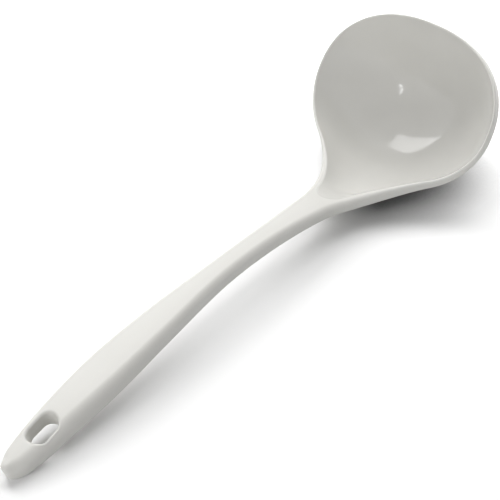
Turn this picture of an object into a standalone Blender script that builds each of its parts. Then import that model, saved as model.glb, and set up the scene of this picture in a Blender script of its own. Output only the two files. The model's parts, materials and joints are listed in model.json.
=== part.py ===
"""A one-piece moulded sauce ladle, lying on a table on its bowl and the end of its handle.

The ladle is drawn on its top sheet: the surface of the handle's top and of the bowl's rim, which
is flat across and bends only along its length. A place on the sheet is an arc length from the end
of the handle, s, and a distance to the side, y; a depth is measured square to the sheet.
+X runs from the end of the handle to the bowl, +Z up, the table is at Z = 0, and the origin is
under the middle of the whole length.
"""

import math

import bmesh
import bpy
import numpy as np

MM = 0.001

# Top sheet, mm and degrees
TOP_LENGTH = 264.0  # along the sheet, from the end of the handle to the bowl's far lip
HEADINGS = (  # distance along the sheet, and its climb there as moulded
    (0.0, 14.6),
    (25.0, 10.6),
    (55.0, 5.5),
    (95.0, 1.5),
    (130.0, -4.3),
    (160.0, -9.1),
    (179.0, -11.0),
    (192.5, 4.7),
    (206.5, 27.1),
    (222.5, 47.0),
    (255.5, 47.0),
)

# Bowl, mm
BOWL_ACROSS = 85.0
BOWL_ALONG = 68.0
BOWL_DEPTH = 31.2  # outside, below the rim
BOWL_ROUND = 1.3  # radius of the bowl's curve as a share of its half width
BOWL_SQUARE = 2.26  # 2 is an ellipse; the bowl's far half is a little squarer
WALL = 2.8
LIP_HEIGHT = 3.7  # upright outer face under the rim
LAND_FRONT = 1.5  # flat rim, at the far lip
LAND_THROAT = 3.4  # flat rim, where the handle's shoulders open
THROAT_RADIUS = 63.7  # hollow side curves between handle and bowl
HOLLOW_START = 172.5  # along the sheet, where the hollow's tail begins
TAIL_DEPTH = 2.4  # of the hollow's shallow tail in the throat
TAIL_END = 188.0
FALL_START = 179.0  # where the hollow begins to fall towards the bowl

# Handle, mm: distance along the sheet, half width, thickness
SECTIONS = (
    (0.0, 4.2, 8.0),
    (12.0, 6.1, 8.6),
    (30.0, 7.5, 9.0),
    (50.0, 8.1, 8.9),
    (75.0, 7.1, 8.1),
    (115.0, 4.8, 7.0),
    (150.0, 5.5, 6.3),
    (176.5, 7.9, 5.4),
)
END_ROUND = 7.0  # length over which the end of the handle rounds off in plan
CROWN = 0.5
TOP_EDGE = 2.4
END_EDGE = 4.2  # the top edge near the end of the handle
TIP_EDGE = 2.6  # and round the end itself
BOTTOM_EDGE = 1.3
RIM_EDGE = 0.6
SPLIT = 165.0  # where the handle piece ends and the bowl piece begins
SPLIT_GAP = 0.3

# Hanging slot, mm
SLOT_LENGTH = 14.0
SLOT_WIDTH = 9.4
SLOT_START = 12.8  # from the end of the handle

# Flats that the ladle rests on, mm
BOWL_FLAT = 0.28  # depth taken off the bowl's lowest point
HANDLE_FLAT = 0.45


def through(stations, values, at):
    """A smooth curve through the values at the stations."""
    stations, values = np.asarray(stations, float), np.asarray(values, float)
    at = np.asarray(at, float)
    slope = np.gradient(values, stations)
    i = np.clip(np.searchsorted(stations, at) - 1, 0, len(stations) - 2)
    span = stations[i + 1] - stations[i]
    t = np.clip((at - stations[i]) / span, 0.0, 1.0)
    keep = 2 * t**3 - 3 * t**2 + 1
    bend = (t**3 - 2 * t**2 + t) * slope[i] + (t**3 - t**2) * slope[i + 1]
    return keep * values[i] + (1 - keep) * values[i + 1] + span * bend


def rise(at, start, end):
    """0 before start, 1 after end, smooth between."""
    t = np.clip((np.asarray(at, float) - start) / (end - start), 0.0, 1.0)
    return t * t * (3 - 2 * t)


class Sheet:
    """The top sheet as moulded, turned so that both ends touch the table."""

    def __init__(self):
        self.s = np.linspace(0.0, TOP_LENGTH, 1001)
        step = self.s[1]
        stations, headings = zip(*HEADINGS)
        middle = np.radians(through(stations, headings, self.s[:-1] + step / 2))
        self.x = np.concatenate([[0.0], np.cumsum(np.cos(middle) * step)])
        self.z = np.concatenate([[0.0], np.cumsum(np.sin(middle) * step)])
        self.heading = np.radians(through(stations, headings, self.s))
        self.rest()

    def rest(self):
        """Turns and lifts the sheet until the handle's end and the bowl both stand on the table."""
        for _ in range(6):
            x, _, z = self.underside()
            handle, bowl = self.s < 60.0, self.s > HOLLOW_START
            a, b = np.argmin(np.where(handle, z, 1e9)), np.argmin(np.where(bowl, z, 1e9))
            low_a, low_b = z[a] + HANDLE_FLAT, z[b] + BOWL_FLAT
            turn = -math.atan2(low_b - low_a, x[b] - x[a])
            c, d = math.cos(turn), math.sin(turn)
            self.x, self.z = c * self.x - d * self.z, d * self.x + c * self.z
            self.heading = self.heading + turn
        _, _, z = self.underside()
        self.z = self.z - (np.where(self.s < 60.0, z, 1e9).min() + HANDLE_FLAT)

    def underside(self):
        """The middle line of the underside, with the rounded edge at the end of the handle."""
        near = np.clip(BOTTOM_EDGE - self.s, 0.0, None)
        rounded = BOTTOM_EDGE - np.sqrt(BOTTOM_EDGE**2 - near**2)
        return self.place(self.s, 0.0 * self.s, middle_depth(self.s) - rounded).T

    def place(self, s, y, depth):
        """World places, mm, of points under the sheet."""
        s, y, depth = np.broadcast_arrays(*(np.asarray(v, float) for v in (s, y, depth)))
        x = np.interp(s, self.s, self.x)
        z = np.interp(s, self.s, self.z)
        h = np.interp(s, self.s, self.heading)
        return np.stack([x + depth * np.sin(h), y, z - depth * np.cos(h)], -1)


CENTRE = TOP_LENGTH - BOWL_ALONG / 2
ALONG, ACROSS = BOWL_ALONG / 2, BOWL_ACROSS / 2


def handle_half(s):
    """Half width of the handle, without its rounded end."""
    stations, halves, _ = zip(*SECTIONS)
    return through(stations, halves, np.clip(s, 0.0, stations[-1]))


def thickness(s):
    stations, _, depths = zip(*SECTIONS)
    return through(stations, depths, np.clip(s, 0.0, stations[-1]))


def half_width(s):
    """Half width of the outline: handle, hollow side curves, then the oval of the bowl."""
    s = np.asarray(s, float)
    squeeze = ALONG / ACROSS
    neck = handle_half(SECTIONS[-1][0])
    v = (s - CENTRE) / squeeze
    start = -math.sqrt((ACROSS + THROAT_RADIUS) ** 2 - (neck + THROAT_RADIUS) ** 2)
    end = start - THROAT_RADIUS * start / (ACROSS + THROAT_RADIUS)
    handle = handle_half(s)
    t = np.clip(s / END_ROUND, 0.0, 1.0)
    handle = handle * np.sqrt(1 - (1 - t) ** 2)
    side = THROAT_RADIUS - np.sqrt(np.clip(THROAT_RADIUS**2 - (v - start) ** 2, 0, None))
    oval = np.sqrt(np.clip(ACROSS**2 - v**2, 0.0, None))
    oval = np.where(v < 0.0, oval, ACROSS * far_half(v / ACROSS))
    return np.where(v < start, handle, np.where(v < end, handle + side, oval))


def far_half(u):
    """Half width of the bowl's far half, as a share, by the share of its length."""
    return np.clip(1 - np.clip(u, 0.0, 1.0) ** BOWL_SQUARE, 0.0, None) ** (1 / BOWL_SQUARE)


def cap(part):
    """A shallow dish, 1 deep at its middle and 0 at its edge."""
    edge = math.sqrt(BOWL_ROUND**2 - 1)
    return (np.sqrt(BOWL_ROUND**2 - np.clip(part, 0.0, 1.0) ** 2) - edge) / (BOWL_ROUND - edge)


def cap_part(deep):
    """Where the dish is this deep: the inverse of cap."""
    edge = math.sqrt(BOWL_ROUND**2 - 1)
    height = edge + np.clip(deep, 0.0, 1.0) * (BOWL_ROUND - edge)
    return np.sqrt(np.clip(BOWL_ROUND**2 - height**2, 0.0, 1.0))


def dish(s, full, middle, part):
    """Depth across a section of the dish that is this deep at its own middle."""
    power = np.where(np.asarray(s) < CENTRE, 2.0, BOWL_SQUARE)
    start = cap_part(middle / full) ** power
    part = np.clip(np.abs(part), 0.0, 1.0) ** power
    return full * cap((start + (1 - start) * part) ** (1 / power))


def land(s):
    """Width of the flat rim around the hollow."""
    return LAND_THROAT + (LAND_FRONT - LAND_THROAT) * rise(s, HOLLOW_START, CENTRE)


def hollow_half(s):
    """Half width of the hollow at a distance along the sheet."""
    s = np.asarray(s, float)
    back = half_width(s) - land(s)
    tail = np.clip((s - HOLLOW_START) / 5.0, 0.0, 1.0)
    back = np.clip(back, 0.0, None) * np.sqrt(1 - (1 - tail) ** 2)
    u = (s - CENTRE) / (ALONG - LAND_FRONT)
    front = (ACROSS - LAND_FRONT) * far_half(u)
    return np.where(s < CENTRE, back, front)


def floor_depth(s):
    """Depth of the hollow on its middle line."""
    s = np.asarray(s, float)
    full = BOWL_DEPTH - WALL
    tail = TAIL_DEPTH * rise(s, HOLLOW_START, TAIL_END)
    back = tail + (full - TAIL_DEPTH) * rise(s, FALL_START, CENTRE)
    u = (s - CENTRE) / (ALONG - LAND_FRONT)
    return np.where(s < CENTRE, back, full * cap(np.abs(u)))


def lip(s):
    """Height of the upright outer face, the whole side on the handle."""
    return thickness(s) + (LIP_HEIGHT - thickness(s)) * rise(s, HOLLOW_START, CENTRE)


def middle_depth(s):
    """Depth of the underside on its middle line."""
    s = np.asarray(s, float)
    wall = WALL + (thickness(s) - WALL) * (1 - rise(s, HOLLOW_START, CENTRE - 20.0))
    u = (s - CENTRE) / ALONG
    front = LIP_HEIGHT + (BOWL_DEPTH - LIP_HEIGHT) * cap(np.abs(u))
    back = np.where(s < HOLLOW_START, thickness(s), floor_depth(s) + wall)
    return np.where(s < CENTRE, back, front)


def edge(s, on_handle):
    """Radius of a rounded edge, which grows sharper towards the rim."""
    return on_handle + (RIM_EDGE - on_handle) * rise(s, HOLLOW_START - 6.0, CENTRE - 15.0)


def shoulder(s):
    """Radius of the rounded edge between the top and the side, smaller round the end."""
    radius = edge(s, END_EDGE + (TOP_EDGE - END_EDGE) * rise(s, 20.0, 90.0))
    return np.minimum(radius, np.maximum(half_width(s), TIP_EDGE))


def crown(s, y):
    """How far the handle's top falls away to the sides; the rim is flat."""
    half = np.maximum(half_width(s), 3.0)
    return CROWN * (y / half) ** 2 * (1 - rise(s, HOLLOW_START - 10.0, CENTRE - 20.0))


def under_depth(s, y):
    """Depth of the underside anywhere inside the outline."""
    reach = np.maximum(half_width(s) - edge(s, BOTTOM_EDGE), 0.5)
    rim = lip(s)
    full = BOWL_DEPTH - rim
    return rim + dish(s, full, np.clip(middle_depth(s) - rim, 0.0, full), y / reach)


def hollow_depth(s, y):
    full = BOWL_DEPTH - WALL
    return dish(s, full, np.minimum(floor_depth(s), full), y / np.maximum(hollow_half(s), 1e-6))


def ring_faces(first, second, count):
    return [
        (first + i, first + (i + 1) % count, second + (i + 1) % count, second + i)
        for i in range(count)
    ]


def make_object(name, places, faces, material):
    """One closed mesh object, in metres, standing at its own middle."""
    places = np.asarray(places) * MM
    middle = (places.max(0) + places.min(0)) / 2
    mesh = bpy.data.meshes.new(name)
    mesh.from_pydata([tuple(p) for p in places - middle], [], faces)
    work = bmesh.new()
    work.from_mesh(mesh)
    bmesh.ops.remove_doubles(work, verts=work.verts, dist=2e-6)
    bmesh.ops.recalc_face_normals(work, faces=work.faces)
    work.to_mesh(mesh)
    work.free()
    mesh.shade_smooth()
    mesh.materials.append(material)
    piece = bpy.data.objects.new(name, mesh)
    piece.location = middle
    bpy.context.scene.collection.objects.link(piece)
    return piece


def make_material(name, colour, roughness):
    material = bpy.data.materials.new(name)
    material.use_nodes = True
    shader = material.node_tree.nodes["Principled BSDF"]
    shader.inputs["Base Color"].default_value = (*colour, 1.0)
    shader.inputs["Roughness"].default_value = roughness
    return material


def cut(piece, places, faces, name):
    """Takes a closed cutter out of a piece."""
    mesh = bpy.data.meshes.new(name)
    mesh.from_pydata([tuple(p * MM) for p in places], [], faces)
    work = bmesh.new()
    work.from_mesh(mesh)
    bmesh.ops.recalc_face_normals(work, faces=work.faces)
    work.to_mesh(mesh)
    work.free()
    cutter = bpy.data.objects.new(name, mesh)
    cutter.hide_render = True
    cutter.display_type = "WIRE"
    bpy.context.scene.collection.objects.link(cutter)
    modifier = piece.modifiers.new(name, "BOOLEAN")
    modifier.operation = "DIFFERENCE"
    modifier.solver = "EXACT"
    modifier.object = cutter


def cut_below_table(piece, name):
    """Leaves a flat where the piece stands on the table."""
    side = BOWL_ACROSS
    corners = [
        (x, y, z)
        for x in (-side, TOP_LENGTH + side)
        for y in (-side, side)
        for z in (-side / 4, 0.0)
    ]
    faces = [
        (0, 1, 3, 2),
        (4, 6, 7, 5),
        (0, 4, 5, 1),
        (2, 3, 7, 6),
        (0, 2, 6, 4),
        (1, 5, 7, 3),
    ]
    cut(piece, [np.array(c) for c in corners], faces, name)


def make_handle(sheet, material):
    """The handle, as two edges of the outline with strips across the top and the underside."""
    end = SPLIT - SPLIT_GAP
    turn = np.linspace(0.0, math.pi / 2, 9)
    near = END_ROUND * (1 - np.cos(turn))
    s = np.concatenate([near, np.linspace(END_ROUND, end, 44)[1:]])
    half = half_width(s)
    slope = np.gradient(half, s)
    slope[0] = 1e4
    length = np.hypot(1.0, slope)
    out_s, out_y = -slope / length, 1.0 / length
    out_s[-1], out_y[-1] = 0.0, 1.0
    bends = np.linspace(0.0, math.pi / 2, 5)
    rows = []  # from the middle of the top, round the side, to the middle of the underside
    top_edge = shoulder(s)
    bottom_edge = np.full_like(s, BOTTOM_EDGE)

    def side(inset, depth):
        return s - out_s * inset, half - out_y * inset, depth

    inner = side(top_edge, 0 * s)
    for part in (0.0, 0.35, 0.7):
        y = np.maximum(inner[1], 0.0) * part
        rows.append((inner[0], y, crown(s, y)))
    for bend in bends:
        place = side(top_edge * (1 - math.sin(bend)), 0 * s)
        fall = top_edge * (1 - math.cos(bend))
        rows.append((place[0], place[1], crown(s, place[1]) + fall))
    depth = thickness(s)
    for bend in bends[::-1]:
        place = side(bottom_edge * (1 - math.sin(bend)), 0 * s)
        rows.append((place[0], place[1], depth - bottom_edge * (1 - math.cos(bend))))
    low = side(bottom_edge, 0 * s)
    for part in (0.5, 0.0):
        rows.append((low[0], np.maximum(low[1], 0.0) * part, depth))
    count, last = len(s), len(rows)
    across = [*rows, *[(a, -b, c) for a, b, c in rows[-2:0:-1]]]
    places = np.concatenate([sheet.place(*row) for row in across])
    faces = []
    columns = len(across)
    for j in range(columns):
        after = (j + 1) % columns
        for i in range(count - 1):
            faces.append(
                (j * count + i, after * count + i, after * count + i + 1, j * count + i + 1)
            )
    faces.append(tuple(j * count + count - 1 for j in range(columns)))
    # The end of the handle closes on its middle line, where both sides meet.
    for j in range(last):
        mirror = (columns - j) % columns
        places[mirror * count] = places[j * count] = places[j * count] * (1, 0, 1)
    return make_object("handle", places, faces, material)


def outline(count_side, count_neck):
    """Places on the outline in order, with the outward direction, starting at the neck's corner."""
    s = np.linspace(SPLIT, TOP_LENGTH, 6001)
    s = np.concatenate([s, TOP_LENGTH - (TOP_LENGTH - s[-60]) * np.linspace(1, 0, 400) ** 2])
    s = np.unique(s)
    y = half_width(s)
    y[-1] = 0.0
    run = np.concatenate([[0.0], np.cumsum(np.hypot(np.diff(s), np.diff(y)))])
    at = np.linspace(0.0, run[-1], count_side)
    side_s, side_y = np.interp(at, run, s), np.interp(at, run, y)
    fine = 0.02
    before = np.clip(at - fine, 0.0, run[-1])
    after = np.clip(at + fine, 0.0, run[-1])
    ds = np.interp(after, run, s) - np.interp(before, run, s)
    dy = np.interp(after, run, y) - np.interp(before, run, y)
    size = np.hypot(ds, dy)
    out_s, out_y = -dy / size, ds / size
    out_s[0], out_y[0] = 0.0, 1.0
    out_s[-1], out_y[-1] = 1.0, 0.0
    ring_s = np.concatenate([side_s, side_s[-2::-1]])
    ring_y = np.concatenate([side_y, -side_y[-2::-1]])
    ring_os = np.concatenate([out_s, out_s[-2::-1]])
    ring_oy = np.concatenate([out_y, -out_y[-2::-1]])
    reach = side_y[0] - TOP_EDGE
    neck = np.linspace(-reach, reach, count_neck)
    ring_s = np.concatenate([ring_s, np.full(count_neck, SPLIT)])
    ring_y = np.concatenate([ring_y, neck])
    ring_os = np.concatenate([ring_os, np.zeros(count_neck)])
    ring_oy = np.concatenate([ring_oy, np.zeros(count_neck)])
    on_neck = np.concatenate([np.zeros(len(ring_s) - count_neck, bool), np.ones(count_neck, bool)])
    return ring_s, ring_y, ring_os, ring_oy, on_neck


def hollow_reach(angle):
    """Distance from the bowl's middle to the hollow's edge, by direction."""
    s = np.linspace(HOLLOW_START, TOP_LENGTH - LAND_FRONT, 8001)
    y = hollow_half(s)
    y[0] = y[-1] = 0.0
    way = np.arctan2(y, s - CENTRE)
    order = np.argsort(way)
    return np.interp(np.abs(angle), way[order], np.hypot(s - CENTRE, y)[order])


def make_bowl(sheet, material):
    """The bowl, throat and neck, as rings about the bowl's middle."""
    s, y, out_s, out_y, on_neck = outline(37, 3)
    count = len(s)
    top_edge, bottom_edge = shoulder(s), edge(s, BOTTOM_EDGE)
    top_edge = np.where(on_neck, 0.0, top_edge)
    bottom_edge = np.where(on_neck, 0.0, bottom_edge)
    bends = np.linspace(0.0, math.pi / 2, 4)
    rings = []
    inner_s, inner_y = s - out_s * top_edge, y - out_y * top_edge
    low_s, low_y = s - out_s * bottom_edge, y - out_y * bottom_edge
    angle = np.arctan2(inner_y, inner_s - CENTRE)
    reach = hollow_reach(angle)
    # Hollow: from the middle out
    for part in np.sin(np.linspace(0.0, math.pi / 2, 15))[1:-1]:
        at_s, at_y = CENTRE + part * reach * np.cos(angle), part * reach * np.sin(angle)
        rings.append((at_s, at_y, crown(at_s, at_y) + hollow_depth(at_s, at_y)))
    # Flat rim
    far = np.hypot(inner_s - CENTRE, inner_y)
    for part in np.linspace(0.0, 1.0, 8):
        out = reach + (far - reach) * part
        at_s, at_y = CENTRE + out * np.cos(angle), out * np.sin(angle)
        rings.append((at_s, at_y, crown(at_s, at_y)))
    # Outer edge and side
    for bend in bends[1:]:
        inset = top_edge * (1 - math.sin(bend))
        fall = top_edge * (1 - math.cos(bend))
        at_s, at_y = s - out_s * inset, y - out_y * inset
        rings.append((at_s, at_y, crown(at_s, at_y) + fall))
    side = lip(s)
    for bend in bends[::-1]:
        inset = bottom_edge * (1 - math.sin(bend))
        fall = side - bottom_edge * (1 - math.cos(bend))
        rings.append((s - out_s * inset, y - out_y * inset, fall))
    # Across the neck the side is cut straight from the top to the underside.
    first = 13 + 8
    for k in range(first, len(rings)):
        a, b, c = rings[k]
        straight = crown(s, y) + (under_depth(s, y) - crown(s, y)) * (k - first + 1) / (len(rings) - first)
        rings[k] = (a, b, np.where(on_neck, straight, c))
    # Underside, back to the middle
    way = np.arctan2(low_y, low_s - CENTRE)
    far = np.hypot(low_s - CENTRE, low_y)
    oval = 1 / np.sqrt((np.cos(way) / ALONG) ** 2 + (np.sin(way) / ACROSS) ** 2)
    near = np.minimum(oval * 0.98, far - 0.35 * 5)
    for part in np.linspace(0.0, 1.0, 6)[1:]:
        out = far + (near - far) * part
        at_s, at_y = CENTRE + out * np.cos(way), out * np.sin(way)
        rings.append((at_s, at_y, under_depth(at_s, at_y)))
    for part in np.sin(np.linspace(math.pi / 2, 0.0, 14))[1:-1]:
        at_s, at_y = CENTRE + near * part * np.cos(way), near * part * np.sin(way)
        rings.append((at_s, at_y, under_depth(at_s, at_y)))
    places = np.concatenate([sheet.place(*ring) for ring in rings])
    faces = []
    for k in range(len(rings) - 1):
        faces += ring_faces(k * count, (k + 1) * count, count)
    middle = CENTRE, 0.0
    places = np.vstack(
        [
            places,
            sheet.place(*middle, hollow_depth(*middle)),
            sheet.place(*middle, under_depth(*middle)),
        ]
    )
    last = (len(rings) - 1) * count
    for i in range(count):
        faces.append(((i + 1) % count, i, len(places) - 2))
        faces.append((last + i, last + (i + 1) % count, len(places) - 1))
    return make_object("bowl", places, faces, material)


def cut_slot(handle, sheet):
    """The hanging slot, square to the sheet at its middle."""
    middle = SLOT_START + SLOT_LENGTH / 2
    heading = float(np.interp(middle, sheet.s, sheet.heading))
    centre = sheet.place(middle, 0.0, 0.0)
    along = np.array([math.cos(heading), 0.0, math.sin(heading)])
    side = np.array([0.0, 1.0, 0.0])
    down = np.array([math.sin(heading), 0.0, -math.cos(heading)])
    radius = SLOT_WIDTH / 2
    straight = SLOT_LENGTH / 2 - radius
    ring = []
    for sign in (1, -1):
        for angle in np.linspace(-math.pi / 2, math.pi / 2, 13):
            ring.append(
                (
                    sign * (straight + radius * math.cos(angle)),
                    sign * radius * math.sin(angle),
                )
            )
    count = len(ring)
    places = []
    for depth in (-6.0, 22.0):
        places += [centre + along * a + side * b + down * depth for a, b in ring]
    faces = ring_faces(0, count, count)
    faces += [tuple(range(count)), tuple(range(2 * count - 1, count - 1, -1))]
    cut(handle, places, faces, "slot cutter")


def main():
    for thing in list(bpy.data.objects):
        bpy.data.objects.remove(thing)
    material = make_material("moulded melamine", (0.80, 0.79, 0.76), 0.3)
    handle_material = make_material("satin melamine", (0.80, 0.79, 0.76), 0.4)
    sheet = Sheet()
    handle = make_handle(sheet, handle_material)
    cut_slot(handle, sheet)
    cut_below_table(handle, "handle table cutter")
    bowl = make_bowl(sheet, material)
    cut_below_table(bowl, "bowl table cutter")
    ends = [thing.location.x + corner[0] for thing in (handle, bowl) for corner in thing.bound_box]
    for thing in bpy.data.objects:
        thing.location.x -= (min(ends) + max(ends)) / 2


main()
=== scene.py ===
"""A one-piece melamine sauce ladle lying on a pale studio table.

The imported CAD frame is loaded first. The ladle is then modelled as the single seamless moulding
that it is, in the space its CAD solids hold, and dressed as polished and satin melamine. Sizes are
millimetres until a mesh is made; a mesh is in metres, in the frame of the CAD.
"""

from __future__ import annotations

import json
import logging
import math
from dataclasses import dataclass
from enum import Enum
from typing import Any

import bmesh
import bpy
import numpy as np
from mathutils import Matrix, Vector

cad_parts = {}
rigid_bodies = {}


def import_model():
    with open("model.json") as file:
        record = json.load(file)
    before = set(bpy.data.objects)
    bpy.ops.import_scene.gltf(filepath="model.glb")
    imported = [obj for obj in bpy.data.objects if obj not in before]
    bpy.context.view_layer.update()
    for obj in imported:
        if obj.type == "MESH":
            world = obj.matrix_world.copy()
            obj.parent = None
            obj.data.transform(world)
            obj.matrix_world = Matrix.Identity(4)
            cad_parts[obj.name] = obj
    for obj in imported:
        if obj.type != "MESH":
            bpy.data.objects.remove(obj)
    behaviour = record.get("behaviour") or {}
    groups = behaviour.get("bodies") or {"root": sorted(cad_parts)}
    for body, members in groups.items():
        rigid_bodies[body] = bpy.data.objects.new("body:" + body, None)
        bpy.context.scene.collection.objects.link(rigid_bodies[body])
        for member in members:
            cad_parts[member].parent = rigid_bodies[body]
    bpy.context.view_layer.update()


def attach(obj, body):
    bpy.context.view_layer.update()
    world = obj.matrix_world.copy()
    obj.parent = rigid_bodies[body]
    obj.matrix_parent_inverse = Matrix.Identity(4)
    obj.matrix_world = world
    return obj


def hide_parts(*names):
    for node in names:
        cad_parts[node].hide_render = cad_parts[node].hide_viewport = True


LOG = logging.getLogger("ladle")
MM = 0.001
WHITE = (1.0, 1.0, 1.0, 1.0)
TINY = 1e-6
Array = np.ndarray
Tree = bpy.types.NodeTree
Socket = bpy.types.NodeSocket


class Polish(Enum):
    """How the mould's steel was finished, which the melamine copies."""

    SATIN = 0
    MIRROR = 1


# Curves and small sums


def through(stations: Any, values: Any, at: Any) -> Array:
    """A smooth curve through known values.

    Args:
        stations: Where the values are known, rising.
        values: The known values.
        at: Where the curve is wanted.

    Returns:
        The curve's values at those places.
    """
    stations, values = np.asarray(stations, float), np.asarray(values, float)
    at = np.asarray(at, float)
    slope = np.gradient(values, stations)
    i = np.clip(np.searchsorted(stations, at) - 1, 0, len(stations) - 2)
    span = stations[i + 1] - stations[i]
    t = np.clip((at - stations[i]) / span, 0.0, 1.0)
    keep = 2 * t**3 - 3 * t**2 + 1
    bend = (t**3 - 2 * t**2 + t) * slope[i] + (t**3 - t**2) * slope[i + 1]
    return keep * values[i] + (1 - keep) * values[i + 1] + span * bend


def rise(at: Any, start: float, end: float) -> Array:
    """A smooth step.

    Args:
        at: Where the step is wanted.
        start: Where it leaves 0.
        end: Where it reaches 1.

    Returns:
        Values from 0 to 1.
    """
    t = np.clip((np.asarray(at, float) - start) / (end - start), 0.0, 1.0)
    return t * t * (3 - 2 * t)


def graded(start: float, end: float, count: int, tight_start: bool, tight_end: bool) -> Array:
    """Stations between two places, closer together at the ends that ask for it.

    Args:
        start: First station.
        end: Last station.
        count: Number of stations, ends included.
        tight_start: True where the stations crowd at the start.
        tight_end: True where they crowd at the end.

    Returns:
        The stations, rising.
    """
    t = np.linspace(0.0, 1.0, count)
    if tight_start and tight_end:
        t = (1 - np.cos(math.pi * t)) / 2
    elif tight_start:
        t = 1 - np.cos(math.pi / 2 * t)
    elif tight_end:
        t = np.sin(math.pi / 2 * t)
    return start + (end - start) * t


def toward(azimuth: float, elevation: float) -> Vector:
    """The direction from the ladle to a place around it.

    Args:
        azimuth: Degrees round the ladle, 0 from -Y, 90 from +X.
        elevation: Degrees above the table.

    Returns:
        The direction, 1 long.
    """
    a, e = math.radians(azimuth), math.radians(elevation)
    return Vector((math.sin(a) * math.cos(e), -math.cos(a) * math.cos(e), math.sin(e)))


# The ladle's sizes and its forms


@dataclass(frozen=True)
class LadleSizes:
    """The moulding's sizes in mm, along the curved top from the end of the handle."""

    length: float = 263.75
    # Place and climb, degrees, of the top.
    climbs: tuple[tuple[float, float], ...] = (
        (0.0, 14.6),
        (25.0, 10.6),
        (55.0, 5.5),
        (95.0, 1.5),
        (130.0, -4.3),
        (160.0, -9.1),
        (179.0, -11.0),
        (192.5, 4.7),
        (206.5, 27.0),
        (222.5, 46.9),
        (255.5, 46.9),
    )
    bowl_across: float = 85.0
    bowl_along: float = 68.0
    bowl_depth: float = 31.2
    bowl_round: float = 1.3
    bowl_square: float = 2.26  # 2 is an ellipse; the bowl's far half is a little squarer
    wall: float = 2.8
    lip_height: float = 3.7
    land_front: float = 0.75
    land_throat: float = 3.4
    throat_radius: float = 63.7
    hollow_start: float = 172.5
    tail_round: float = 5.0  # length of the hollow's rounded tail
    tail_depth: float = 2.4
    tail_end: float = 188.0
    fall_start: float = 179.0
    # Place, half width and thickness of the handle.
    sections: tuple[tuple[float, float, float], ...] = (
        (0.0, 4.2, 8.0),
        (12.0, 6.1, 8.6),
        (30.0, 7.5, 9.0),
        (50.0, 8.1, 8.9),
        (75.0, 7.1, 8.1),
        (115.0, 4.8, 7.0),
        (150.0, 5.5, 6.3),
        (176.5, 7.9, 5.4),
    )
    end_round: float = 7.0
    crown: float = 0.5
    top_edge: float = 2.4
    end_edge: float = 3.6
    tip_edge: float = 2.2
    bottom_edge: float = 1.3
    rim_edge: float = 0.4
    slot_length: float = 13.0
    slot_width: float = 7.8
    slot_start: float = 13.2
    slot_edge: float = 1.0
    slot_flare: float = 2.4  # how much softer the slot's far side is below than above
    slot_aside: float = -0.8  # the slot's middle stands a little to the near side
    hollow_edge: float = 0.3
    bowl_flat: float = 0.28  # how much is flat-cut off the bowl's underside, where it rests
    handle_flat: float = 0.45
    rest_reach: float = 60.0  # how far from its end the handle may rest on the table
    # Where the forms run into each other: places along the top, or distances before the bowl's
    # middle or the hollow's start.
    end_edge_start: float = 20.0
    end_edge_end: float = 90.0
    sharp_before_hollow: float = 6.0
    sharp_before_middle: float = 15.0
    crown_before_hollow: float = 10.0
    crown_before_middle: float = 20.0
    wall_before_middle: float = 20.0
    least_half: float = 3.0  # half width that the crown is measured by on the rounded end
    least_reach: float = 0.5
    mouth_fade_start: float = 1.7  # before the slot's end: rows start to leave the square
    mouth_fade_end: float = 0.8  # past its end: they follow the middle line again


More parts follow.
